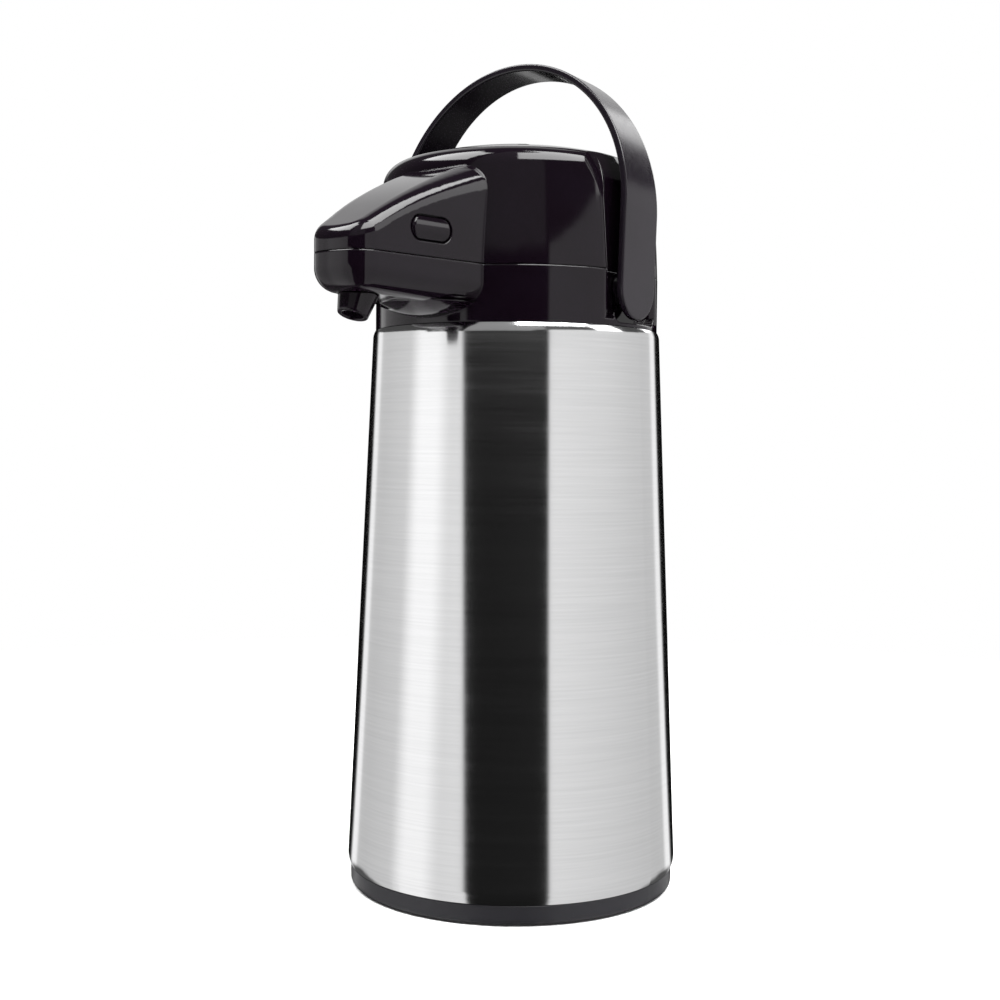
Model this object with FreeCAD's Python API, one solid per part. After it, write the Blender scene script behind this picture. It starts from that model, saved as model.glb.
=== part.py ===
import FreeCAD, Part
import math
import os

os.makedirs("parts", exist_ok=True)
V = FreeCAD.Vector

# A pump airpot, in millimetres.  +Z is up, the origin is the centre of the foot
# on the body's axis, the nose points to -Y and the handle pivots lie on X.

# Body
base_radius = 80.0
base_bottom_z = 0.6
base_top_z = 9.7
shell_low = (81.4, 15.5)
shell_high = (70.9, 268.5)
shell_thickness = 0.8
rim_z = 272.6
rim_radius = 69.9

# Head
collar_radius = 69.6
collar_bottom_z = 272.8
seam_z = 298.8
seam_gap = 0.4
head_wall = 2.5
pocket_floor_x = 61.0
pocket_front = 16.8
pocket_rear = 20.9
pocket_bottom_z = 274.5
pocket_corner_round = 4.5
pocket_front_round = 5.0
pocket_rear_round = 4.7
deck_z = (288.5, 291.0)
mouth_radius = 34.0

# Nose: straight walls in plan, a blunt tip with round corners, and the crest above the seam
nose_root_y = -50.0
nose_corner = V(5.2, -122.8, 0)
nose_corner_radius = 12.0
nose_wall_angle = math.radians(9.5)
nose_front_angle = math.radians(14.0)
nose_crest = [(50, 50.0), (64, 45.5), (78, 39.8), (94, 32.5), (112, 23.0), (124, 15.8), (138, 7.5)]
nose_top_round = (7.5, 15.0)
nose_wall = 2.4
keel_line = ((-45.0, 279.5), (-140.0, 282.3))
keel_round = (10.6, 3.0)
belly_y = -71.0
belly_z = 281.5
belly_size = (24.0, 6.3)

# Pump
button_radius = 34.2
button_top_z = 361.0
bellows_radius = 30.0
bellows_z = (302.4, 337.6)
cover_z = (299.4, 302.2)
spigot_y = 8.0

# Liquid path
siphon_y = -16.0
tube_radius = 4.0
pipe_radius = 3.5
pipe_z = 295.2
nozzle_tilt = math.radians(20.0)
nozzle_top = V(0, -116.2, 287.2)
nozzle_length = 15.9

# Liner
liner_radius = 64.0
liner_bottom_z = 21.0
liner_top_z = 272.0
glass = 1.8
vacuum = 4.0

# Handle
pivot_z = 291.0
handle_radius = 70.5
handle_thickness = 3.4
handle_arm_height = 37.0
handle_arch_height = 76.0
handle_half_width = (14.6, 10.4)
handle_lean = 3.2
pin_radius = 4.0

# Lid hinge
hinge_y = 74.2
hinge_z = 299.0
knuckle_radius = 4.2
hinge_pin_radius = 1.5
running = 0.05

# Lid release buttons, on the nose's side walls
latch_y = -95.0
latch_z = 311.0
latch_half_width = 22.02
latch_crown = 1.0
latch_swell = 10.0


def save(name, shape):
    """Write one node."""
    shape.exportStep("parts/%s.step" % name)
    print("%-18s valid %s  solids %d" % (name, shape.isValid(), len(shape.Solids)))


def cylinder(radius, z_low, z_high, x=0.0, y=0.0):
    """Upright cylinder."""
    return Part.makeCylinder(radius, z_high - z_low, V(x, y, z_low))


def ring(outer, inner, z_low, z_high, x=0.0, y=0.0):
    """Upright ring."""
    return cylinder(outer, z_low, z_high, x, y).cut(cylinder(inner, z_low - 1, z_high + 1, x, y))


def box(x, y, z):
    """Box from three (low, high) pairs."""
    return Part.makeBox(x[1] - x[0], y[1] - y[0], z[1] - z[0], V(x[0], y[0], z[0]))


def rod_x(radius, x_low, x_high, y, z):
    """Cylinder along X."""
    return Part.makeCylinder(radius, x_high - x_low, V(x_low, y, z), V(1, 0, 0))


def mirrored(shape):
    """The same piece on the other side of the YZ plane."""
    return shape.mirror(V(0, 0, 0), V(1, 0, 0))


def line(a, b):
    """Straight edge between two (r, z) points of a revolved section."""
    return Part.LineSegment(V(a[0], 0, a[1]), V(b[0], 0, b[1])).toShape()


def arc(a, b, c):
    """Arc edge through three (r, z) points of a revolved section."""
    return Part.Arc(V(a[0], 0, a[1]), V(b[0], 0, b[1]), V(c[0], 0, c[1])).toShape()


def revolve(edges):
    """Solid of revolution about Z of a closed section."""
    face = Part.Face(Part.Wire(edges))
    return face.revolve(V(0, 0, 0), V(0, 0, 1), 360)


def revolve_points(points):
    """Solid of revolution of a straight-sided section."""
    closed = points + points[:1]
    return revolve([line(a, b) for a, b in zip(closed, closed[1:])])


def prism(face, vector):
    """Extrude a face."""
    return face.extrude(vector)


def coil_spring(radius, wire, height, turns):
    """Open coil spring standing on the XY plane, its wire an eight-sided section."""
    helix = Part.makeHelix(height / turns, height, radius)
    angles = [math.radians(45 * index) for index in range(9)]
    section = [V(radius + wire * math.cos(angle), 0, wire * math.sin(angle)) for angle in angles]
    return Part.Wire(helix).makePipeShell([Part.makePolygon(section)], True, True)


def edges_where(shape, test):
    """Edges whose middle point passes the test."""
    found = []
    for edge in shape.Edges:
        middle = edge.valueAt((edge.FirstParameter + edge.LastParameter) / 2)
        if test(middle, edge):
            found.append(edge)
    return found


def is_upright(edge):
    """True for a straight edge along Z."""
    ends = [vertex.Point for vertex in edge.Vertexes]
    if len(ends) != 2:
        return False
    sideways = abs(ends[0].x - ends[1].x) + abs(ends[0].y - ends[1].y)
    return sideways < 1.5 and abs(ends[0].z - ends[1].z) > 5


# ---------------------------------------------------------------- base and body

base_screw_circle = 58.0


def screw_places():
    """Three places round the base's flange."""
    for index in range(3):
        angle = math.radians(90 + 120 * index)
        yield base_screw_circle * math.cos(angle), base_screw_circle * math.sin(angle)


def base_ring():
    """Trim ring with a spigot inside the steel and a flange for the bottom plate."""
    section = [
        line((76, base_bottom_z), (77.5, base_bottom_z)),
        arc((77.5, base_bottom_z), (79.27, base_bottom_z + 0.73), (base_radius, base_bottom_z + 2.5)),
        line((base_radius, base_bottom_z + 2.5), (base_radius, base_top_z)),
        line((base_radius, base_top_z), (78.9, base_top_z)),
        line((78.9, base_top_z), (78.9, 17)),
        line((78.9, 17), (76, 17)),
        line((76, 17), (76, 7.5)),
        line((76, 7.5), (52, 7.5)),
        line((52, 7.5), (52, 5)),
        line((52, 5), (76, 5)),
        line((76, 5), (76, base_bottom_z)),
    ]
    shape = revolve(section)
    for x, y in screw_places():
        shape = shape.fuse(cylinder(4.2, 7.5, 15, x, y))
        shape = shape.cut(cylinder(1.55, 4, 13.5, x, y))
    return shape.removeSplitter()


def base_plate():
    """Bottom cover with the seat of the liner jack and the groove of the foot."""
    shape = cylinder(75.7, 2.0, 4.9)
    shape = shape.fuse(cylinder(24, 2.0, 12))
    shape = shape.cut(cylinder(18.1, 1, 13))
    shape = shape.cut(ring(72.1, 64.9, 1, 3.0))
    for x, y in screw_places():
        shape = shape.cut(cylinder(1.7, 1, 6, x, y))
        shape = shape.cut(cylinder(3.4, 1, 3.4, x, y))
    return shape.removeSplitter()


def base_screws():
    """Three screws that hold the plate to the ring's bosses."""
    screws = []
    for x, y in screw_places():
        head = cylinder(3.0, 2.2, 3.4, x, y)
        slot = box((x - 3.5, x + 3.5), (y - 0.4, y + 0.4), (2.0, 2.7))
        screws.append(head.fuse(cylinder(1.5, 3.4, 12.5, x, y)).cut(slot).removeSplitter())
    return Part.makeCompound(screws)


def foot_ring():
    """Soft ring that the pot stands on."""
    return ring(72.0, 65.0, 0, 2.95)


def liner_jack():
    """Screw disc that lifts the liner against its neck gasket, with a coin slot."""
    shape = cylinder(18.0, 3.0, 16)
    shape = shape.cut(cylinder(14.2, 13, 17))
    return shape.cut(box((-11, 11), (-1.5, 1.5), (2, 5.5)))


def liner_cushion():
    """Rubber cup between the jack and the liner's end."""
    shape = cylinder(14.0, 13.1, 22.6)
    return shape.cut(Part.makeSphere(90, V(0, 0, liner_bottom_z - 0.2 + 90)))


def outer_shell():
    """Tapered steel jacket with both ends curled in."""
    def outline(inset):
        low_end = (80.2 - inset, 10.0)
        low = (shell_low[0] - inset, shell_low[1])
        high = (shell_high[0] - inset, shell_high[1])
        high_end = (rim_radius - inset, rim_z)
        low_middle = (81.05 - inset, 12.3)
        high_middle = (70.68 - inset, 270.7)
        return low_end, low_middle, low, high, high_middle, high_end

    outer = outline(0)
    inner = outline(shell_thickness)
    section = [
        arc(outer[0], outer[1], outer[2]),
        line(outer[2], outer[3]),
        arc(outer[3], outer[4], outer[5]),
        line(outer[5], inner[5]),
        arc(inner[5], inner[4], inner[3]),
        line(inner[3], inner[2]),
        arc(inner[2], inner[1], inner[0]),
        line(inner[0], outer[0]),
    ]
    return revolve(section)


def glass_liner():
    """Double-walled bottle, with the evacuated space between its walls."""
    def bottle(inset):
        """One wall's face: radius and bottom move in by the inset."""
        body = liner_radius - inset
        bottom = liner_bottom_z + inset
        corner = (44 - inset * 0.5, 29 + inset * 0.9)
        neck = 33 - inset if inset < 3 else 31 - inset * 0.55
        return [
            arc((0, bottom), (corner[0] / 2, bottom + 2), corner),
            arc(corner, (body - 5.6, 38 + inset * 0.8), (body, 54 + inset)),
            line((body, 54 + inset), (body, 230)),
            arc((body, 230), (body - 8, 248 - inset * 0.4), (neck, 262 - inset)),
        ], neck, 262 - inset

    def closed(inset, top):
        edges, neck, shoulder = bottle(inset)
        edges.append(line((neck, shoulder), (neck, top)))
        edges.append(line((neck, top), (0, top)))
        edges.append(line((0, top), (0, liner_bottom_z + inset)))
        return revolve(edges)

    outer_face = closed(0, liner_top_z)
    outer_back = closed(glass, liner_top_z - glass)
    inner_back = closed(glass + vacuum, liner_top_z + 5)
    inner_face = closed(glass + vacuum + glass, liner_top_z + 5)
    space = outer_back.cut(inner_back)
    return outer_face.cut(inner_face).cut(space)


def neck_gasket():
    """Ring between the liner's rim and the collar's seat."""
    return ring(36.4, 33.3, 264, 275.3).fuse(ring(36.4, 27.4, 272.3, 275.3)).removeSplitter()


# ---------------------------------------------------------------- nose and pockets

def nose_outline(inset=0.0):
    """Plan of the nose: straight walls that close in towards a blunt, round-cornered tip."""
    def flip(point):
        return V(-point.x, point.y, 0)

    outward = V(math.cos(nose_wall_angle), -math.sin(nose_wall_angle), 0)
    forward = V(-math.sin(nose_wall_angle), -math.cos(nose_wall_angle), 0)
    turned = V(math.sin(nose_front_angle), -math.cos(nose_front_angle), 0)
    radius = nose_corner_radius - inset
    wall_end = nose_corner + outward * radius
    root = wall_end - forward * ((nose_root_y - wall_end.y) / math.cos(nose_wall_angle))
    corner_end = nose_corner + turned * radius
    corner_middle = nose_corner + (outward + turned).normalize() * radius
    bow = nose_corner.x / math.sin(nose_front_angle)
    tip = V(0, nose_corner.y + bow * math.cos(nose_front_angle) - bow - radius, 0)
    edges = [
        Part.LineSegment(root, wall_end).toShape(),
        Part.Arc(wall_end, corner_middle, corner_end).toShape(),
        Part.Arc(corner_end, tip, flip(corner_end)).toShape(),
        Part.Arc(flip(corner_end), flip(corner_middle), flip(wall_end)).toShape(),
        Part.LineSegment(flip(wall_end), flip(root)).toShape(),
        Part.LineSegment(flip(root), root).toShape(),
    ]
    return Part.Face(Part.Wire(edges))


def nose_prism(z_low, z_high, inset=0.0):
    """Nose plan between two heights."""
    face = nose_outline(inset)
    face.translate(V(0, 0, z_low))
    return prism(face, V(0, 0, z_high - z_low))


def below_crest(drop=0.0):
    """Everything under the nose's crest line."""
    points = [V(-60, -distance + drop * 0.6, seam_z + height - drop) for distance, height in nose_crest]
    crest = Part.BSplineCurve()
    crest.interpolate(points)
    front = points[-1]
    back = points[0]
    corners = [front, V(-60, front.y, seam_z - 60), V(-60, back.y, seam_z - 60), back]
    edges = [crest.toShape()]
    edges += [Part.LineSegment(a, b).toShape() for a, b in zip(corners, corners[1:])]
    return prism(Part.Face(Part.Wire(edges)), V(120, 0, 0))


def above_keel(lift=0.0):
    """Everything over the nose's flat lower side, which rises a little to the tip."""
    (back_y, back_z), (front_y, front_z) = keel_line
    corners = [(back_y, back_z + lift), (front_y, front_z + lift), (front_y, 330), (back_y, 330)]
    outline = Part.makePolygon([V(-60, y, z) for y, z in corners + corners[:1]])
    return prism(Part.Face(outline), V(120, 0, 0))


def graded_fillet(shape, test, radii, tip_first_on_right):
    """Round the nose's rim: one radius round the tip, changing to another along the side walls."""
    at_tip, at_root = radii
    sizes = []
    for index, edge in enumerate(shape.Edges):
        middle = edge.valueAt((edge.FirstParameter + edge.LastParameter) / 2)
        if not test(middle) or is_upright(edge):
            continue
        on_side_wall = middle.y > -110 and abs(middle.x) > 3
        if not on_side_wall:
            sizes.append((index + 1, at_tip, at_tip))
        elif (middle.x > 0) == tip_first_on_right:
            sizes.append((index + 1, at_tip, at_root))
        else:
            sizes.append((index + 1, at_root, at_tip))
    document = FreeCAD.newDocument()
    base = document.addObject("Part::Feature")
    base.Shape = shape
    rounding = document.addObject("Part::Fillet")
    rounding.Base = base
    rounding.Edges = sizes
    document.recompute()
    result = rounding.Shape.copy()
    FreeCAD.closeDocument(document.Name)
    return result


def upper_nose(bottom, inset=0.0):
    """Nose above the seam, with its broad shoulders."""
    block = nose_prism(bottom, 370, inset).common(below_crest(inset))
    at_tip, at_root = nose_top_round
    radii = (at_tip - inset, at_root - inset)
    return graded_fillet(block, lambda p: p.z > bottom + 2 and p.y < -56, radii, True)


def lower_nose(top, inset=0.0):
    """Nose below the seam, with a round front under the tip."""
    block = nose_prism(270, top, inset).common(above_keel(inset))
    at_tip, at_root = keel_round
    radii = (at_tip - inset, at_root - inset * 0.8)
    return graded_fillet(block, lambda p: p.z < 290 and p.y < -56, radii, False)


def belly(inset=0.0):
    """Shallow bowl under the nose, in front of the body."""
    wide, deep = belly_size
    ball_radius = (wide ** 2 + deep ** 2) / (2 * deep)
    ball = Part.makeSphere(ball_radius - inset, V(0, belly_y, belly_z - deep + ball_radius))
    return ball.common(cylinder(2 * wide, belly_z - deep - 1, belly_z + inset, 0, belly_y))


def pockets(wall=0.0, z_low=pocket_bottom_z, z_high=380.0):
    """The two recesses that the handle swings in; wall gives the block that lines them."""
    front = -pocket_front - wall
    rear = pocket_rear + wall
    floor_z = z_low - wall
    block = box((pocket_floor_x - wall, 90), (front, rear), (floor_z, z_high))
    lowest = edges_where(block, lambda p, e: abs(p.z - floor_z) < 0.01)
    corners = [edge for edge in lowest if abs(edge.BoundBox.YLength) < 0.01]
    block = block.makeFillet(pocket_corner_round + wall, corners)
    return block.fuse(mirrored(block))


def pocket_edge_cutters(low, high):
    """What rounds off the pockets' upright edges on a leaning wall, given (radius, z) twice."""
    rear = pocket_edge_cutter(low, high, pocket_rear, pocket_rear_round)
    front = pocket_edge_cutter(low, high, pocket_front, pocket_front_round)
    front = front.mirror(V(0, 0, 0), V(0, 1, 0))
    return [rear, front, mirrored(rear), mirrored(front)]


def pocket_edge_cutter(low, high, edge_y, edge_round):
    """What rounds off the edge at edge_y, on the right."""
    middle_y = edge_y + edge_round
    far = 90.0

    def section(radius, z):
        """Corner region outside the rounding, with the rounding's centre."""
        centre = V(math.sqrt((radius - edge_round) ** 2 - middle_y ** 2), middle_y, z)
        touch = V(centre.x, edge_y, z)
        on_wall = V(centre.x, centre.y, 0) * (radius / (radius - edge_round)) + V(0, 0, z)
        slope = centre.y / centre.x
        points = [centre, touch, V(far, edge_y, z), V(far, far * slope, z), on_wall, centre]
        return Part.makePolygon(points), centre

    wire_low, centre_low = section(*low)
    wire_high, centre_high = section(*high)
    corner = Part.makeLoft([wire_low, wire_high], True, True)
    way = centre_high - centre_low
    rounding = Part.makeCylinder(edge_round, way.Length * 1.4, centre_low - way * 0.2, way)
    return corner.cut(rounding)


def dome(inset=0.0, bottom=seam_z + seam_gap / 2):
    """Outer or inner face of the lid's dome, as a solid of revolution."""
    wall_low = (collar_radius - 0.05 - inset, bottom)
    wall_middle = (68.5 - inset, 321)
    wall_high = (66.5 - inset, 343.6)
    round_middle = (64.6 - inset * 0.8, 349.5 - inset * 0.5)
    round_end = (60.0 - inset * 0.35, 353.3 - inset)
    top_middle = (48.0, 356.6 - inset)
    rim = (36.0, 359.2 - inset)
    centre = (0, 359.2 - inset)
    return revolve([
        arc(wall_low, wall_middle, wall_high),
        arc(wall_high, round_middle, round_end),
        arc(round_end, top_middle, rim),
        line(rim, centre),
        line(centre, (0, bottom)),
        line((0, bottom), wall_low),
    ])


# ---------------------------------------------------------------- collar

def hinge_knuckle(x_low, x_high, arm_z):
    """One barrel of the hinge with the arm that carries it."""
    barrel = rod_x(knuckle_radius, x_low, x_high, hinge_y, hinge_z)
    arm = box((x_low, x_high), (67.5, hinge_y), arm_z)
    return barrel.fuse(arm)


def hinge_bore():
    """Hole for the hinge pin."""
    return rod_x(hinge_pin_radius + running, -40, 40, hinge_y, hinge_z)


def collar():
    """Shoulder of the pot: wall, deck, filling mouth, lower nose and handle pockets."""
    top = seam_z - seam_gap / 2
    outer = cylinder(collar_radius, collar_bottom_z, top).fuse([lower_nose(top), belly()])
    outer = outer.cut(pockets())
    outer = outer.removeSplitter()
    outer = outer.cut(pocket_edge_cutters((collar_radius, 276.0), (collar_radius, 300.0)))
    lining = pockets(head_wall)
    low_space = ring(67, 37, collar_bottom_z - 1, deck_z[0]).cut(lining)
    high_space = cylinder(67, deck_z[1], top + 1).cut(lining)
    mouth = cylinder(mouth_radius, 282, deck_z[1] + 1)
    ledge = cylinder(30.5, 277.5, 283)
    throat = cylinder(27.5, 270, 279)
    seat = cylinder(37, 270, 275.4)
    channel = lower_nose(top + 1, nose_wall).fuse(belly(nose_wall))
    front = channel.common(box((-60, 60), (-140, -71), (270, 310)))
    over = channel.common(box((-60, 60), (-140, -50), (deck_z[1], 310)))
    shape = outer.cut([low_space, high_space, mouth, ledge, throat, seat, front, over])
    skirt = ring(68.8, 66.4, 262, collar_bottom_z + 1)
    shape = shape.fuse(skirt)
    for side in (-1, 1):
        low_x = 10.0 if side > 0 else -22.0
        shape = shape.fuse(hinge_knuckle(low_x, low_x + 12, (hinge_z - knuckle_radius, top)))
        near = 50.0 if side > 0 else -58.6
        shape = shape.cut(box((near, near + 8.6), (-8, 8), (282, 300)))
        pin_ends = sorted((side * 55, side * 64))
        shape = shape.cut(rod_x(pin_radius + running, pin_ends[0], pin_ends[1], 0, pivot_z))
        ledge_block = box((-4, 4), (-4.2, -2.2), (-15.0, -12.7))
        shape = shape.fuse(to_latch_wall(ledge_block, side).common(nose_prism(290, 299)))
    shape = shape.cut(hinge_bore())
    spout_hole = Part.makeCylinder(6.15, 30, nozzle_top - nozzle_direction() * 12, nozzle_direction())
    shape = shape.cut(spout_hole)
    return shape.removeSplitter()


def nozzle_direction():
    """Way that the coffee leaves: down and a little forward."""
    return V(0, -math.sin(nozzle_tilt), -math.cos(nozzle_tilt))


def nozzle():
    """Tapered spout under the nose, with a spigot through the collar's floor."""
    way = nozzle_direction()
    cone = Part.makeCone(10.6, 6.75, nozzle_length + 3, nozzle_top - way * 3, way)
    mouth_z = nozzle_top.z - nozzle_length * 0.8
    mouth_edge = edges_where(cone, lambda p, e: p.z < mouth_z and e.Length > 30)
    cone = cone.makeFillet(0.6, mouth_edge)
    nose = nose_prism(260, 310).common(above_keel(-0.05))
    cone = cone.cut(nose)
    spigot = Part.makeCylinder(6.0, nozzle_length, nozzle_top - way * 4.5, way)
    shape = cone.fuse(spigot)
    upper_bore = Part.makeCylinder(pipe_radius + 0.1, 30, nozzle_top - way * 8, way)
    flare_start = nozzle_top + way * (nozzle_length - 6.5)
    mouth_bore = Part.makeCone(pipe_radius + 0.1, 5.0, 7.0, flare_start, way)
    return shape.cut([upper_bore, mouth_bore]).removeSplitter()


def discharge_pipe():
    """Pipe from the siphon's flange along the nose and down into the nozzle."""
    way = nozzle_direction()
    start = V(0, siphon_y, 287.4)
    corner_one = V(0, siphon_y, pipe_z)
    rise = pipe_z - nozzle_top.z
    corner_two = V(0, nozzle_top.y + rise * math.tan(nozzle_tilt), pipe_z)
    end = nozzle_top + way * 8
    bend = 6.0

    def corner(before, at, after):
        """Arc that rounds a corner, with its two ends."""
        towards = (before - at).normalize()
        away = (after - at).normalize()
        half_turn = (math.pi - towards.getAngle(away)) / 2
        setback = bend * math.tan(half_turn)
        first = at + towards * setback
        last = at + away * setback
        centre_way = (towards + away).normalize()
        middle = at + centre_way * (bend / math.cos(half_turn) - bend)
        return first, middle, last

    one = corner(start, corner_one, corner_two)
    two = corner(corner_one, corner_two, end)
    path = Part.Wire([
        Part.LineSegment(start, one[0]).toShape(),
        Part.Arc(*one).toShape(),
        Part.LineSegment(one[2], two[0]).toShape(),
        Part.Arc(*two).toShape(),
        Part.LineSegment(two[2], end).toShape(),
    ])

    def tube(radius):
        profile = Part.Wire(Part.makeCircle(radius, start, V(0, 0, 1)))
        return path.makePipeShell([profile], True, False)

    return tube(pipe_radius).cut(tube(pipe_radius - 1.0))


def siphon_flange():
    """Disc in the filling mouth that holds the siphon tube and lets pump air in."""
    shape = cylinder(33.6, 284, 287)
    shape = shape.fuse(cylinder(6, 279, deck_z[1], 0, siphon_y))
    shape = shape.cut(cylinder(tube_radius + running, 278, 286.5, 0, siphon_y))
    shape = shape.cut(cylinder(2.5, 285, 288, 0, siphon_y))
    shape = shape.cut(cylinder(pipe_radius + running, 287.4, 292, 0, siphon_y))
    return shape.cut(cylinder(6.5, 283, 288, 0, spigot_y)).removeSplitter()


def flange_gasket():
    """Ring under the siphon's flange."""
    return ring(33.6, 31.0, 282.05, 283.95)


def dip_tube():
    """Siphon tube down to just above the liner's bottom."""
    return ring(tube_radius, tube_radius - 1.0, 39, 286.4, 0, siphon_y)


# ---------------------------------------------------------------- handle

def handle():
    """Strap bail with round ends, blind bosses on the pivots and a small backward lean."""
    low = -handle_half_width[0] - 1
    top = handle_arm_height

    def arch(inset):
        radius = handle_radius - inset
        height = handle_arch_height - inset
        centre = V(0, -20, top)
        ellipse = Part.Ellipse(centre + V(0, 0, height), centre + V(radius, 0, 0), centre)
        edge = ellipse.toShape(-math.pi / 2, math.pi / 2)
        ends = sorted([vertex.Point for vertex in edge.Vertexes], key=lambda p: p.x)
        left = V(ends[0].x, -20, low)
        right = V(ends[1].x, -20, low)
        rising = Part.LineSegment(left, ends[0]).toShape()
        falling = Part.LineSegment(ends[1], right).toShape()
        sides = [rising, edge, falling]
        sides.append(Part.LineSegment(right, left).toShape())
        return prism(Part.Face(Part.Wire(Part.__sortEdges__(sides))), V(0, 40, 0))

    band = arch(0).cut(arch(handle_thickness))
    wide = handle_half_width[0]
    narrow = handle_half_width[1]
    peak = handle_arm_height + handle_arch_height + 2
    corners = [V(-80, -wide, 0), V(-80, wide, 0), V(-80, wide, top), V(-80, narrow, peak)]
    corners += [V(-80, -narrow, peak), V(-80, -wide, top), V(-80, -wide, 0)]
    side_view = prism(Part.Face(Part.makePolygon(corners)), V(160, 0, 0))
    side_view = side_view.fuse(Part.makeCylinder(wide, 160, V(-80, 0, 0), V(1, 0, 0))).removeSplitter()
    strap = band.common(side_view).removeSplitter()
    strap = strap.makeFillet(0.7, edges_where(strap, lambda p, e: abs(p.y) > 5 or p.z < -10))
    for side in (-1, 1):
        near = side * (pocket_floor_x + 0.4)
        far = side * (handle_radius - handle_thickness + 0.5)
        strap = strap.fuse(rod_x(9, min(near, far), max(near, far), 0, 0))
        bore_end = side * 69.0
        bore = sorted((near - side, bore_end))
        strap = strap.cut(rod_x(pin_radius + running, bore[0], bore[1], 0, 0))
    strap = strap.removeSplitter()
    strap.rotate(V(0, 0, 0), V(1, 0, 0), -handle_lean)
    strap.translate(V(0, 0, pivot_z))
    return strap


def handle_pin():
    """Headed stub that carries one end of the handle, on the +X side."""
    head = rod_x(7, 55.6, 58.3, 0, pivot_z)
    return rod_x(pin_radius, 55.6, 68.7, 0, pivot_z).fuse(head).removeSplitter()


# ---------------------------------------------------------------- lid

def under_arch(inset=0.0, spring=321.5):
    """Arched limit that keeps the lid's shoulders inside the handle's sweep."""
    width = 64.2 - inset
    height = 65.0 - inset
    centre = V(0, -150, spring)
    ellipse = Part.Ellipse(centre + V(0, 0, height), centre + V(width, 0, 0), centre)
    curve = ellipse.toShape(-math.pi / 2, math.pi / 2)
    ends = [vertex.Point for vertex in curve.Vertexes]
    chord = Part.LineSegment(ends[0], ends[1]).toShape()
    arched = prism(Part.Face(Part.Wire([curve, chord])), V(0, 300, 0))
    return arched.fuse(box((-80, 80), (-150, 150), (280, spring)))


def lid_screw_places():
    """Four bosses inside the lid's wall."""
    for angle in (50, 130, 230, 310):
        yield 62.4 * math.cos(math.radians(angle)), 62.4 * math.sin(math.radians(angle))


def lid_shell():
    """Dome and upper nose in one shell, with the pump's well, pockets and hinge barrel."""
    bottom = seam_z + seam_gap / 2
    outer = dome().common(under_arch()).fuse(upper_nose(bottom)).removeSplitter()
    outer = outer.cut(pockets())
    outer = outer.cut(pocket_edge_cutters((collar_radius, bottom - 0.5), (66.0, 352.0)))
    well_block = cylinder(36.8, 342, 362)
    lock_block = box((-15, 15), (39, 57), (352.3, 362))
    lining = pockets(head_wall)
    hollow = dome(head_wall, bottom - 1).common(under_arch(head_wall)).cut(lining)
    hollow = hollow.fuse(upper_nose(bottom - 1, nose_wall)).cut([well_block, lock_block])
    shape = outer.cut(hollow)
    shape = shape.cut(cylinder(button_radius + 0.4, 330, 370))
    slide_pocket = box((-13.5, 13.5), (42.5, 54.5), (355.2, 365))
    slide_slot = box((-8.6, 8.6), (47, 50), (350, 365))
    shape = shape.cut([slide_pocket, slide_slot])
    for x, y in lid_screw_places():
        boss = cylinder(5.0, cover_z[1], 320, x, y).common(dome(0.5, bottom))
        shape = shape.fuse(boss)
        shape = shape.cut(cylinder(1.55, 300, 314, x, y))
    rib = box((-4.0, 4.0), (-100, -90), (304, 340)).common(below_crest(1.0))
    shape = shape.fuse(rib)
    for side in (-1, 1):
        shape = shape.cut(latch_prism(12.1, 5.8, -8, 6, side))
    shape = shape.fuse(hinge_knuckle(-9.7, 9.7, (bottom + 0.2, hinge_z + knuckle_radius)))
    shape = shape.cut(hinge_bore())
    return shape.removeSplitter()


def lid_inner_cover():
    """Pump base under the lid, with the air spigot."""
    shape = cylinder(66.2, cover_z[0], cover_z[1])
    inside = pockets(head_wall + 0.3)
    shape = shape.cut(inside)
    shape = shape.fuse(ring(11, 7.5, 288.9, cover_z[0] + 0.5, 0, spigot_y))
    shape = shape.fuse(ring(bellows_radius - 6.3, bellows_radius - 7.8, cover_z[1] - 0.5, cover_z[1] + 2))
    shape = shape.cut(cylinder(1.5, 298, 304, 0, spigot_y))
    for index in range(6):
        angle = math.radians(60 * index)
        x = 4.4 * math.cos(angle)
        y = spigot_y + 4.4 * math.sin(angle)
        shape = shape.cut(cylinder(1.3, 298, 304, x, y))
    for x, y in lid_screw_places():
        shape = shape.cut(cylinder(1.7, 298, 304, x, y))
        shape = shape.cut(cylinder(3.1, 298, 300.6, x, y))
    return shape.removeSplitter()


def lid_screws():
    """Four screws up through the inner cover into the lid's bosses."""
    screws = []
    for x, y in lid_screw_places():
        screw = cylinder(2.9, 299.5, 300.6, x, y).fuse(cylinder(1.5, 300.6, 312, x, y))
        screws.append(screw.removeSplitter())
    return Part.makeCompound(screws)


def spigot_gasket():
    """Rubber ring on the end of the air spigot."""
    return ring(11, 7.6, 287.35, 288.85, 0, spigot_y)


def check_valve():
    """Umbrella valve that keeps the pumped air in the bottle."""
    shape = cylinder(6.7, 298.2, 299.3, 0, spigot_y)
    shape = shape.fuse(cylinder(1.4, 299, 303.2, 0, spigot_y))
    return shape.fuse(cylinder(2.2, cover_z[1] + 0.1, 303.6, 0, spigot_y)).removeSplitter()


def lid_hinge_pin():
    """Steel rod through the hinge barrels."""
    return rod_x(hinge_pin_radius, -21.8, 21.8, hinge_y, hinge_z)


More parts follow.
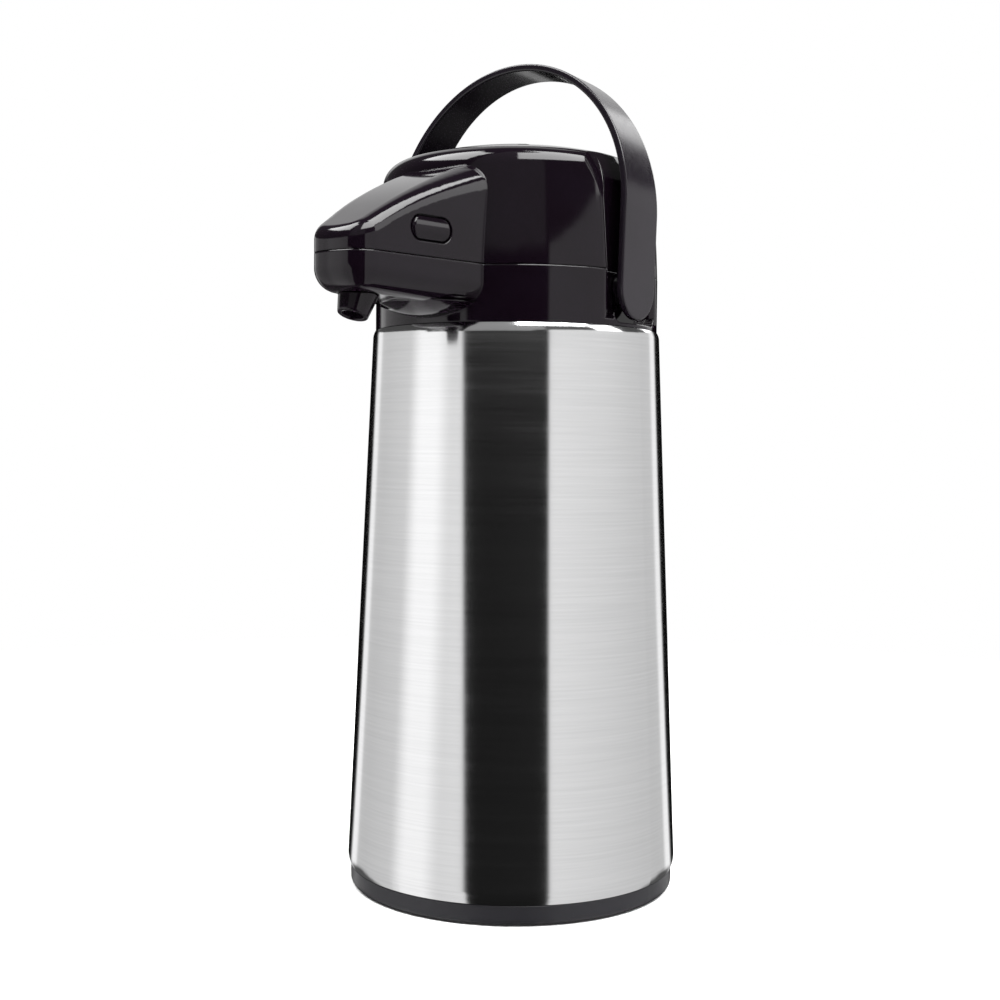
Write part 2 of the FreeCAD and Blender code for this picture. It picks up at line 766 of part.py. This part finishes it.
def bellows():
    """Pleated pump body between the inner cover and the bellows plate."""
    folds = 6
    low, high = bellows_z
    pitch = (high - low) / folds
    depth = 5.0
    thickness = 1.0
    outer = []
    inner = []
    for index in range(folds):
        z = low + pitch * index
        outer += [(bellows_radius - depth, z), (bellows_radius, z + pitch / 2)]
        inner.append((bellows_radius - depth - thickness, z))
        inner.append((bellows_radius - thickness * 1.6, z + pitch / 2))
    outer.append((bellows_radius - depth, high))
    inner.append((bellows_radius - depth - thickness, high))
    return revolve_points(outer + inner[::-1])


def bellows_spring():
    """Return spring of the pump, inside the bellows."""
    spring = coil_spring(18.0, 1.1, bellows_z[1] - bellows_z[0] - 5.0, 5.0)
    spring.translate(V(0, 0, bellows_z[0] + 2.3))
    return spring


def bellows_plate():
    """Top plate of the bellows, clipped under the push button, with the air-inlet hole."""
    return ring(34.9, 4.0, 337.9, 339.5)


def push_button():
    """Round pump button with a retaining flange and a hub for the inlet seal."""
    r = button_radius
    cap = revolve([
        arc((0, button_top_z), (16, button_top_z - 0.25), (31, button_top_z - 1.0)),
        arc((31, button_top_z - 1.0), (33.3, button_top_z - 2.0), (r, button_top_z - 4.3)),
        line((r, button_top_z - 4.3), (r, 341.6)),
        line((r, 341.6), (36.2, 341.6)),
        line((36.2, 341.6), (36.2, 339.6)),
        line((36.2, 339.6), (31.8, 339.6)),
        line((31.8, 339.6), (31.8, button_top_z - 4.6)),
        line((31.8, button_top_z - 4.6), (0, button_top_z - 3.0)),
        line((0, button_top_z - 3.0), (0, button_top_z)),
    ])
    return cap.fuse(ring(7.5, 5.0, 342.6, button_top_z - 2.0)).removeSplitter()


def inlet_seal():
    """Rubber plug in the button's hub that closes the bellows' air inlet when pressed."""
    return cylinder(4.9, 341.0, 350).fuse(cylinder(6.6, 341.0, 342.5)).removeSplitter()


def button_lock():
    """Slide on the lid's top that blocks the button, at the left end of its slot."""
    knob = box((-10.5, 2.5), (44.5, 52.5), (355.5, 358.6))
    knob = knob.makeFillet(1.2, edges_where(knob, lambda p, e: p.z > 358.5))
    stem = box((-8.0, 0), (47.3, 49.7), (351, 355.5))
    return knob.fuse([stem, box((-10.0, 2.0), (44.5, 52.5), (350.4, 351.9))]).removeSplitter()


# ---------------------------------------------------------------- lid release buttons

def to_latch_wall(shape, side):
    """Move a shape from the latch's own frame (x along the wall, y outward, z up) to the nose."""
    placed = shape.copy()
    placed.rotate(V(0, 0, 0), V(0, 0, 1), -90 - math.degrees(nose_wall_angle))
    placed.translate(V(latch_half_width, latch_y, latch_z))
    return placed if side > 0 else mirrored(placed)


def stadium(half_length, half_height, depth_low, depth_high):
    """Pill-shaped prism in the latch's own frame."""
    straight = half_length - half_height
    shape = box((-straight, straight), (depth_low, depth_high), (-half_height, half_height))
    for end in (-straight, straight):
        start = V(end, depth_low, 0)
        shape = shape.fuse(Part.makeCylinder(half_height, depth_high - depth_low, start, V(0, 1, 0)))
    return shape.removeSplitter()


def latch_prism(half_length, half_height, depth_low, depth_high, side):
    """Pill-shaped prism placed on one side wall of the nose."""
    return to_latch_wall(stadium(half_length, half_height, depth_low, depth_high), side)


def latch_button(side):
    """Squeeze button with its retaining flange, hook arm and tooth."""
    cap = stadium(11.3, 5.0, -4.0, latch_crown)
    cap = cap.makeFillet(2.0, edges_where(cap, lambda p, e: abs(p.y - latch_crown) < 0.01))
    swell = Part.makeCylinder(latch_swell, 40, V(-20, latch_crown - latch_swell, 0), V(1, 0, 0))
    cap = cap.common(swell)
    flange = stadium(13.4, 6.9, -4.3, -2.8)
    block = box((-4, 4), (-6.3, -2.8), (-6.2, -3.6))
    arm = box((-4, 4), (-6.3, -4.8), (-19.0, -3.6))
    tooth = box((-4, 4), (-4.9, -4.5), (-19.0, -15.4))
    spring_seat = Part.makeCylinder(2.0, 1.5, V(0, -5.7, 0), V(0, 1, 0))
    return to_latch_wall(cap.fuse([flange, block, arm, tooth, spring_seat]).removeSplitter(), side)


def latch_spring(side):
    """Coil spring between a release button and the rib in the nose."""
    spring = coil_spring(2.8, 0.35, 10.0, 6.0)
    spring.rotate(V(0, 0, 0), V(1, 0, 0), 90)
    spring.translate(V(0, -4.75, 0))
    return to_latch_wall(spring, side)


def build():
    """Write every node."""
    save("base_ring", base_ring())
    save("base_plate", base_plate())
    save("base_screws", base_screws())
    save("foot_ring", foot_ring())
    save("liner_jack", liner_jack())
    save("liner_cushion", liner_cushion())
    save("outer_shell", outer_shell())
    save("glass_liner", glass_liner())
    save("neck_gasket", neck_gasket())
    save("collar", collar())
    save("nozzle", nozzle())
    save("discharge_pipe", discharge_pipe())
    save("siphon_flange", siphon_flange())
    save("flange_gasket", flange_gasket())
    save("dip_tube", dip_tube())
    save("handle", handle())
    save("handle_pin_right", handle_pin())
    save("handle_pin_left", mirrored(handle_pin()))
    save("lid_shell", lid_shell())
    save("lid_inner_cover", lid_inner_cover())
    save("lid_screws", lid_screws())
    save("spigot_gasket", spigot_gasket())
    save("check_valve", check_valve())
    save("lid_hinge_pin", lid_hinge_pin())
    save("bellows", bellows())
    save("bellows_spring", bellows_spring())
    save("bellows_plate", bellows_plate())
    save("push_button", push_button())
    save("inlet_seal", inlet_seal())
    save("button_lock", button_lock())
    for name, side in (("right", 1), ("left", -1)):
        save("latch_%s" % name, latch_button(side))
        save("latch_spring_%s" % name, latch_spring(side))


build()
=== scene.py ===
"""Thermal coffee airpot: materials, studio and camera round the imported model.

Everything is in metres in the part's own frame: +Z up, the origin under the body's axis, the nose
towards -Y and the handle's pivots along X.
"""
import math

import bmesh
import bpy
from mathutils import Matrix, Vector


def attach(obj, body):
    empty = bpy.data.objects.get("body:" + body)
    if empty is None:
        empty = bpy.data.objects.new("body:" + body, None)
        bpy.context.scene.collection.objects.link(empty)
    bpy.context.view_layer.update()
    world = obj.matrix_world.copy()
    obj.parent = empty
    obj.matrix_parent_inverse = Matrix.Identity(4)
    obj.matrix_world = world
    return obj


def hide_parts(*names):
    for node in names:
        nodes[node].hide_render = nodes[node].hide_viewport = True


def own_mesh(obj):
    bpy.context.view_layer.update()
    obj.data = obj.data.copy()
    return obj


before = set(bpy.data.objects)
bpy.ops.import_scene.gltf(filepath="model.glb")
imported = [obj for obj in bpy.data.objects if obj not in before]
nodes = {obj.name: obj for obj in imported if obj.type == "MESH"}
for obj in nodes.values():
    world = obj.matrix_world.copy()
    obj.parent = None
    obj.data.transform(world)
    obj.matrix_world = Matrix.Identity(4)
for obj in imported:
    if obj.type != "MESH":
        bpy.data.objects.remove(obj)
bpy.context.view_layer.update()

scene = bpy.context.scene

# Camera, round the body's axis: angles in radians, its lens and sensor in millimetres
CAMERA_AZIMUTH = math.radians(35.5)
CAMERA_DISTANCE = 0.735
CAMERA_HEIGHT = 0.2149
CAMERA_YAW = -0.0098
CAMERA_PITCH = -0.0341
CAMERA_ROLL = -0.0099
CAMERA_LENS = 52.95
SENSOR_WIDTH = 36.0

# Radius that the plastic mouldings' corners are eased to
EDGE_RADIUS = 0.0010

# Angle between two faces above which a node keeps its edge, in degrees
SHARP_EDGE = 32.0

# Floor: its radius, and the distances over which it fades into the surround
FLOOR_RADIUS = 1.2
FLOOR_FADE_START = 0.30
FLOOR_FADE_END = 0.95

# Studio: brightness of each wall and light, where 1 is plain white
SIDE_WALL_REAR = 0.74
LEFT_WALL_FRONT = 1.10
RIGHT_WALL_FRONT = 1.05
LEFT_PANEL = 1.35
WALL_FOOT = 0.90
REAR_STRIPS = 1.14
FRONT_CARD = 0.012
REAR_CARD = 0.002
REAR_FLOOR = 0.10
CEILING = 0.08
CEILING_FRONT = 0.34
CEILING_REAR = 0.90
SOFTBOX = 12.0
LOW_SOFTBOX = 3.0


# ------------------------------------------------------------------------------- node helpers

class Shader:
    """One node material, built call by call."""

    def __init__(self, name):
        self.material = bpy.data.materials.new(name)
        self.material.use_nodes = True
        self.tree = self.material.node_tree
        self.tree.nodes.clear()
        self.bsdf = self.tree.nodes.new("ShaderNodeBsdfPrincipled")
        output = self.tree.nodes.new("ShaderNodeOutputMaterial")
        self.tree.links.new(self.bsdf.outputs[0], output.inputs[0])
        self.coords = self.tree.nodes.new("ShaderNodeTexCoord").outputs["Object"]

    def set(self, **values):
        """Set sockets of the main shader, with _ for a space."""
        for name, value in values.items():
            self.bsdf.inputs[name.replace("_", " ")].default_value = value

    def link(self, output, name):
        """Feed one socket of the main shader."""
        self.tree.links.new(output, self.bsdf.inputs[name])

    def stretched(self, scale):
        """Object coordinates multiplied by a scale on each axis."""
        mapping = self.tree.nodes.new("ShaderNodeMapping")
        mapping.inputs["Scale"].default_value = scale
        self.tree.links.new(self.coords, mapping.inputs["Vector"])
        return mapping.outputs[0]

    def noise(self, scale, detail=3.0, roughness=0.5, stretch=None):
        """Noise over the surface, with scale in cycles per metre."""
        node = self.tree.nodes.new("ShaderNodeTexNoise")
        node.inputs["Scale"].default_value = scale
        node.inputs["Detail"].default_value = detail
        node.inputs["Roughness"].default_value = roughness
        coords = self.stretched(stretch) if stretch else self.coords
        self.tree.links.new(coords, node.inputs["Vector"])
        return node.outputs["Fac"]

    def spread(self, value, low, high, start=0.3, end=0.7):
        """Map a 0 to 1 value to a range."""
        node = self.tree.nodes.new("ShaderNodeMapRange")
        node.inputs["From Min"].default_value = start
        node.inputs["From Max"].default_value = end
        node.inputs["To Min"].default_value = low
        node.inputs["To Max"].default_value = high
        self.tree.links.new(value, node.inputs["Value"])
        return node.outputs[0]

    def colours(self, value, low, high, start=0.3, end=0.7):
        """Ramp between two colours."""
        node = self.tree.nodes.new("ShaderNodeValToRGB")
        ramp = node.color_ramp.elements
        ramp[0].position = start
        ramp[0].color = (*low, 1)
        ramp[1].position = end
        ramp[1].color = (*high, 1)
        self.tree.links.new(value, node.inputs["Fac"])
        return node.outputs["Color"]

    def soft_edges(self, radius):
        """Normal with every corner eased to a radius, as a moulding's corners are."""
        node = self.tree.nodes.new("ShaderNodeBevel")
        node.samples = 8
        node.inputs["Radius"].default_value = radius
        return node.outputs[0]

    def bump(self, height, distance, strength=1.0, under=None):
        """Bump from a height, on top of another bump if one is given."""
        node = self.tree.nodes.new("ShaderNodeBump")
        node.inputs["Distance"].default_value = distance
        node.inputs["Strength"].default_value = strength
        self.tree.links.new(height, node.inputs["Height"])
        if under is not None:
            self.tree.links.new(under, node.inputs["Normal"])
        return node.outputs[0]

    def multiply(self, a, b):
        """Product of two values."""
        node = self.tree.nodes.new("ShaderNodeMath")
        node.operation = "MULTIPLY"
        self.tree.links.new(a, node.inputs[0])
        self.tree.links.new(b, node.inputs[1])
        return node.outputs[0]


def moulded(name, dark, light, roughness, grain, grain_depth, ior=1.5):
    """Moulded plastic: slight tone drift, uneven polish, fine grain and faint sink marks."""
    shader = Shader(name)
    drift = shader.noise(35.0, 4.0)
    shader.link(shader.colours(drift, dark, light), "Base Color")
    polish = shader.noise(220.0, 5.0, 0.6)
    shader.link(shader.spread(polish, *roughness), "Roughness")
    sink_marks = shader.noise(28.0, 1.0)
    flow = shader.bump(sink_marks, 0.00002, under=shader.soft_edges(EDGE_RADIUS))
    fine = shader.bump(shader.noise(grain, 2.0), grain_depth, under=flow)
    shader.link(fine, "Normal")
    shader.set(IOR=ior)
    return shader


def gloss_black():
    """High-gloss black ABS of the head, with faintly uneven polish."""
    return moulded(
        "gloss_black",
        dark=(0.0035, 0.0016, 0.0035),
        light=(0.0045, 0.0025, 0.0050),
        roughness=(0.05, 0.08),
        grain=900.0,
        grain_depth=0.000001,
        ior=1.38,
    ).material


def satin_black():
    """Satin black polypropylene with a fine spark-eroded grain."""
    return moulded(
        "satin_black",
        dark=(0.011, 0.0105, 0.013),
        light=(0.014, 0.0135, 0.016),
        roughness=(0.30, 0.38),
        grain=4200.0,
        grain_depth=0.00001,
        ior=1.34,
    ).material


def handle_satin():
    """Satin strap of the handle, darker and smoother than the base."""
    return moulded(
        "handle_satin",
        dark=(0.006, 0.004, 0.007),
        light=(0.009, 0.006, 0.010),
        roughness=(0.17, 0.23),
        grain=2600.0,
        grain_depth=0.0000004,
        ior=1.45,
    ).material


def inner_black():
    """Unpolished inner mouldings."""
    return moulded(
        "inner_moulding",
        dark=(0.035, 0.035, 0.037),
        light=(0.060, 0.059, 0.062),
        roughness=(0.50, 0.62),
        grain=2600.0,
        grain_depth=0.00003,
    ).material


def natural_plastic():
    """Milky polypropylene of the parts that touch the coffee."""
    shader = moulded(
        "natural_plastic",
        dark=(0.66, 0.64, 0.58),
        light=(0.76, 0.74, 0.69),
        roughness=(0.34, 0.46),
        grain=1500.0,
        grain_depth=0.00001,
    )
    shader.set(Subsurface_Weight=0.25, Subsurface_Scale=0.003)
    return shader.material


def rubber(name, dark, light):
    """Matt rubber or silicone with a dusty bloom."""
    shader = moulded(
        name,
        dark=dark,
        light=light,
        roughness=(0.62, 0.80),
        grain=2400.0,
        grain_depth=0.00004,
    )
    shader.set(Sheen_Weight=0.15, Sheen_Roughness=0.6)
    return shader.material


def brushed_steel():
    """Steel brushed round the body: fine level lines, reflections drawn out up and down."""
    shader = Shader("brushed_steel")
    hairline = shader.noise(1.0, 3.0, 0.6, (45.0, 45.0, 7000.0))
    streak = shader.noise(1.0, 3.0, 0.55, (16.0, 16.0, 900.0))
    band = shader.noise(1.0, 2.0, 0.5, (6.0, 6.0, 120.0))
    shader.link(shader.colours(streak, (0.68, 0.68, 0.685), (0.73, 0.73, 0.735)), "Base Color")
    even = shader.spread(band, 0.92, 1.08)
    shader.link(shader.multiply(shader.spread(streak, 0.115, 0.135), even), "Roughness")
    coarse = shader.bump(streak, 0.0000003)
    shader.link(shader.bump(hairline, 0.00000012, under=coarse), "Normal")
    shader.set(Metallic=1.0, Anisotropic=0.6, Anisotropic_Rotation=0.25)
    tangent = shader.tree.nodes.new("ShaderNodeTangent")
    tangent.direction_type = "RADIAL"
    tangent.axis = "Z"
    shader.link(tangent.outputs[0], "Tangent")
    return shader.material


def bright_steel():
    """Drawn wire and screw steel."""
    shader = Shader("bright_steel")
    draw = shader.noise(900.0, 4.0, 0.6)
    shader.link(shader.colours(draw, (0.50, 0.50, 0.51), (0.66, 0.66, 0.67)), "Base Color")
    shader.link(shader.spread(draw, 0.20, 0.36), "Roughness")
    shader.link(shader.bump(draw, 0.000008), "Normal")
    shader.set(Metallic=1.0)
    return shader.material


def silvered_glass():
    """Silvered glass of the vacuum liner, with the soft ripple of blown glass."""
    shader = Shader("silvered_glass")
    ripple = shader.noise(30.0, 2.0)
    shader.link(shader.colours(ripple, (0.78, 0.79, 0.80), (0.90, 0.91, 0.92)), "Base Color")
    shader.link(shader.spread(ripple, 0.03, 0.09), "Roughness")
    shader.link(shader.bump(ripple, 0.0004), "Normal")
    shader.set(Metallic=1.0, Coat_Weight=1.0, Coat_Roughness=0.02)
    return shader.material


def studio_floor():
    """Pale floor that fades into the white surround."""
    shader = Shader("studio_floor")
    drift = shader.noise(3.0)
    shader.link(shader.colours(drift, (0.90, 0.90, 0.90), (0.92, 0.92, 0.92)), "Base Color")
    shader.link(shader.spread(shader.noise(40.0), 0.7, 0.8), "Roughness")
    shader.set(Specular_IOR_Level=0.2)
    tree = shader.tree
    reach = tree.nodes.new("ShaderNodeVectorMath")
    reach.operation = "LENGTH"
    tree.links.new(shader.coords, reach.inputs[0])
    fade = shader.spread(reach.outputs["Value"], 1.0, 0.0, FLOOR_FADE_START, FLOOR_FADE_END)
    shader.link(fade, "Alpha")
    return shader.material


# ------------------------------------------------------------------------------- materials

def dress():
    """Give every carried-over CAD node its material."""
    by_material = {
        gloss_black(): [
            "collar", "lid_shell", "push_button", "latch_right", "latch_left", "nozzle",
        ],
        satin_black(): ["base_ring", "button_lock"],
        handle_satin(): ["handle"],
        inner_black(): ["base_plate", "liner_jack", "lid_inner_cover", "bellows_plate"],
        natural_plastic(): ["discharge_pipe", "siphon_flange", "dip_tube", "bellows"],
        rubber("black_rubber", dark=(0.012, 0.012, 0.012), light=(0.028, 0.028, 0.027)): [
            "foot_ring", "liner_cushion",
        ],
        rubber("white_silicone", dark=(0.62, 0.61, 0.57), light=(0.72, 0.71, 0.67)): [
            "neck_gasket", "flange_gasket", "spigot_gasket", "check_valve", "inlet_seal",
        ],
        brushed_steel(): ["outer_shell"],
        silvered_glass(): ["glass_liner"],
        bright_steel(): [
            "base_screws", "lid_screws", "handle_pin_right", "handle_pin_left", "lid_hinge_pin",
            "bellows_spring", "latch_spring_right", "latch_spring_left",
        ],
    }
    for material, names in by_material.items():
        for name in names:
            mesh = nodes[name].data
            mesh.materials.clear()
            mesh.materials.append(material)


def smooth(name):
    """Shade a node smooth, keeping its real edges."""
    obj = nodes[name]
    obj.data.shade_smooth()
    bpy.context.view_layer.objects.active = obj
    obj.select_set(True)
    bpy.ops.object.shade_smooth_by_angle(angle=math.radians(SHARP_EDGE))
    obj.select_set(False)


def soft_piece(name):
    """Stand in for a node that the push button squashes: a copy of its mesh hung on the lid, with
    the node itself hidden.
    """
    node = nodes[name]
    mesh = node.data.copy()
    piece = bpy.data.objects.new(name + "_soft", mesh)
    scene.collection.objects.link(piece)
    bpy.context.view_layer.update()
    piece.matrix_world = node.matrix_world.copy()
    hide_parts(name)
    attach(piece, "lid")
    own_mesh(piece)


# ------------------------------------------------------------------------------- studio

def build_floor():
    """Large round floor under the foot."""
    mesh = bpy.data.meshes.new("floor")
    shape = bmesh.new()
    bmesh.ops.create_circle(shape, cap_ends=True, segments=128, radius=FLOOR_RADIUS)
    shape.to_mesh(mesh)
    shape.free()
    floor = bpy.data.objects.new("floor", mesh)
    scene.collection.objects.link(floor)
    mesh.materials.append(studio_floor())
    floor.visible_glossy = False


def build_world():
    """White studio: bright walls at the sides, dark cards in front and straight behind."""
    world = bpy.data.worlds.new("studio")
    scene.world = world
    world.use_nodes = True
    tree = world.node_tree
    tree.nodes.clear()
    new = tree.nodes.new
    link = tree.links.new

    def calculate(operation, *values):
        """One math node, on numbers and other nodes' outputs."""
        node = new("ShaderNodeMath")
        node.operation = operation
        for value, socket in zip(values, node.inputs):
            if isinstance(value, (int, float)):
                socket.default_value = value
            else:
                link(value, socket)
        return node.outputs[0]

    def times(first, second):
        """Product of two values."""
        return calculate("MULTIPLY", first, second)

    def ramp(value, low, high, at_low, at_high):
        """Straight line between two values, held beyond them."""
        node = new("ShaderNodeMapRange")
        node.inputs["From Min"].default_value = low
        node.inputs["From Max"].default_value = high
        node.inputs["To Min"].default_value = at_low
        node.inputs["To Max"].default_value = at_high
        link(value, node.inputs["Value"])
        return node.outputs[0]

    def above(value, edge, width):
        """Smooth 0 to 1 step across an edge, which may slope."""
        node = new("ShaderNodeMapRange")
        node.interpolation_type = "SMOOTHSTEP"
        node.inputs["From Min"].default_value = -width / 2
        node.inputs["From Max"].default_value = width / 2
        link(calculate("SUBTRACT", value, edge), node.inputs["Value"])
        return node.outputs[0]

    def below(value, edge, width):
        """Smooth 1 to 0 step across an edge, which may slope."""
        return calculate("SUBTRACT", 1.0, above(value, edge, width))

    def between(value, low, high, width):
        """1 between two edges and 0 outside them."""
        return times(above(value, low, width), below(value, high, width))

    def blend(under, over, amount):
        """Over laid on under by an amount."""
        kept = times(under, calculate("SUBTRACT", 1.0, amount))
        return calculate("ADD", kept, times(over, amount))

    # Angles in degrees: azimuth from the camera's side, positive to its right, and elevation
    turn = new("ShaderNodeVectorRotate")
    turn.rotation_type = "Z_AXIS"
    turn.inputs["Angle"].default_value = math.pi / 2 - CAMERA_AZIMUTH
    link(new("ShaderNodeTexCoord").outputs["Generated"], turn.inputs["Vector"])
    parts = new("ShaderNodeSeparateXYZ")
    link(turn.outputs[0], parts.inputs[0])
    x, y, z = parts.outputs
    azimuth = times(calculate("ARCTAN2", y, x), math.degrees(1.0))
    elevation = times(calculate("ARCSINE", z), math.degrees(1.0))
    away = calculate("ABSOLUTE", azimuth)

    # Walls, laid out by the way that an upright face must turn to mirror them to the camera, so
    # that the edges of their reflections stand straight
    facing = calculate("ARCTAN2", y, calculate("ADD", x, 1.0))
    around = times(facing, math.degrees(2.0))
    behind = calculate("ABSOLUTE", around)
    left_wall = ramp(around, -120.0, -25.0, SIDE_WALL_REAR, LEFT_WALL_FRONT)
    right_wall = ramp(around, 25.0, 120.0, RIGHT_WALL_FRONT, SIDE_WALL_REAR)
    walls = blend(left_wall, right_wall, above(around, 0.0, 10.0))
    walls = blend(walls, LEFT_PANEL, between(around, -84.0, -56.0, 16.0))
    walls = times(walls, ramp(elevation, -16.0, 4.0, WALL_FOOT, 1.0))
    walls = blend(walls, REAR_STRIPS, between(behind, 132.0, 143.5, 6.0))

    # Card in front, whose left edge leans, and the dark behind
    lean = times(calculate("MAXIMUM", elevation, -15.0), 0.5)
    card_left = calculate("SUBTRACT", -37.2, lean)
    walls = blend(walls, FRONT_CARD, between(around, card_left, 25.5, 3.0))
    walls = blend(walls, REAR_CARD, above(behind, 143.5, 7.0))
    floor_behind = times(above(away, 128.0, 16.0), below(elevation, -19.0, 6.0))
    walls = blend(walls, REAR_FLOOR, floor_behind)

    # Ceiling, dark round the lights, a little lighter in front and light behind
    ceiling = blend(CEILING, CEILING_FRONT, between(azimuth, -40.0, 23.0, 3.0))
    back_light = times(above(away, 154.0, 8.0), between(elevation, 17.0, 62.0, 12.0))
    ceiling = blend(ceiling, CEILING_REAR, back_light)

    # Softboxes overhead: the right one climbs on its way back
    box_foot = ramp(azimuth, 66.0, 80.0, 42.0, 51.0)
    box_head = ramp(azimuth, 66.0, 80.0, 78.0, 87.0)
    box_width = times(above(azimuth, 1.0, 2.0), below(azimuth, 104.0, 5.0))
    right_box = times(box_width, between(elevation, box_foot, box_head, 3.0))
    left_width = between(azimuth, -120.0, -52.0, 2.0)
    left_box = times(left_width, between(elevation, 44.0, 74.0, 3.0))
    ceiling = blend(ceiling, SOFTBOX, calculate("MAXIMUM", right_box, left_box))

    # Two dimmer ones below, on the right and behind it
    right_strip = between(azimuth, 68.0, 96.0, 2.0)
    rear_strip = between(azimuth, 134.0, 152.0, 3.0)
    low_box = times(calculate("MAXIMUM", right_strip, rear_strip), below(elevation, 42.0, 3.0))
    ceiling = blend(ceiling, LOW_SOFTBOX, low_box)

    # The walls reach higher on the right
    wall_top = ramp(azimuth, 23.0, 66.0, 12.3, 17.7)
    level = blend(ceiling, walls, below(elevation, wall_top, 1.5))

    # The camera itself sees plain white
    surround = new("ShaderNodeBackground")
    surround.inputs["Color"].default_value = (1.0, 1.0, 1.0, 1)
    link(level, surround.inputs["Strength"])
    plain = new("ShaderNodeBackground")
    plain.inputs["Color"].default_value = (1.0, 1.0, 1.0, 1)
    plain.inputs["Strength"].default_value = 1.0
    mix = new("ShaderNodeMixShader")
    link(new("ShaderNodeLightPath").outputs["Is Camera Ray"], mix.inputs["Fac"])
    link(surround.outputs[0], mix.inputs[1])
    link(plain.outputs[0], mix.inputs[2])
    link(mix.outputs[0], new("ShaderNodeOutputWorld").inputs["Surface"])


def build_camera():
    """Camera at the product's front right, a little below the head."""
    across = Vector((math.cos(CAMERA_AZIMUTH), math.sin(CAMERA_AZIMUTH), 0))
    away = Vector((-math.sin(CAMERA_AZIMUTH), math.cos(CAMERA_AZIMUTH), 0))
    up = Vector((0, 0, 1))
    level_forward = math.sin(CAMERA_YAW) * across + math.cos(CAMERA_YAW) * away
    level_right = math.cos(CAMERA_YAW) * across - math.sin(CAMERA_YAW) * away
    forward = math.cos(CAMERA_PITCH) * level_forward + math.sin(CAMERA_PITCH) * up
    upright = -math.sin(CAMERA_PITCH) * level_forward + math.cos(CAMERA_PITCH) * up
    right = math.cos(CAMERA_ROLL) * level_right - math.sin(CAMERA_ROLL) * upright
    top = math.sin(CAMERA_ROLL) * level_right + math.cos(CAMERA_ROLL) * upright
    place = -CAMERA_DISTANCE * away + CAMERA_HEIGHT * up
    data = bpy.data.cameras.new("camera")
    data.sensor_width = SENSOR_WIDTH
    data.lens = CAMERA_LENS
    data.clip_start = 0.01
    data.clip_end = 50.0
    camera = bpy.data.objects.new("camera", data)
    matrix = Matrix((right, top, -forward)).transposed().to_4x4()
    matrix.translation = place
    camera.matrix_world = matrix
    scene.collection.objects.link(camera)
    scene.camera = camera


dress()
for node_name in nodes:
    smooth(node_name)
soft_piece("bellows")
soft_piece("bellows_spring")
build_floor()
build_world()
build_camera()
scene.view_settings.view_transform = "Standard"
scene.view_settings.look = "None"
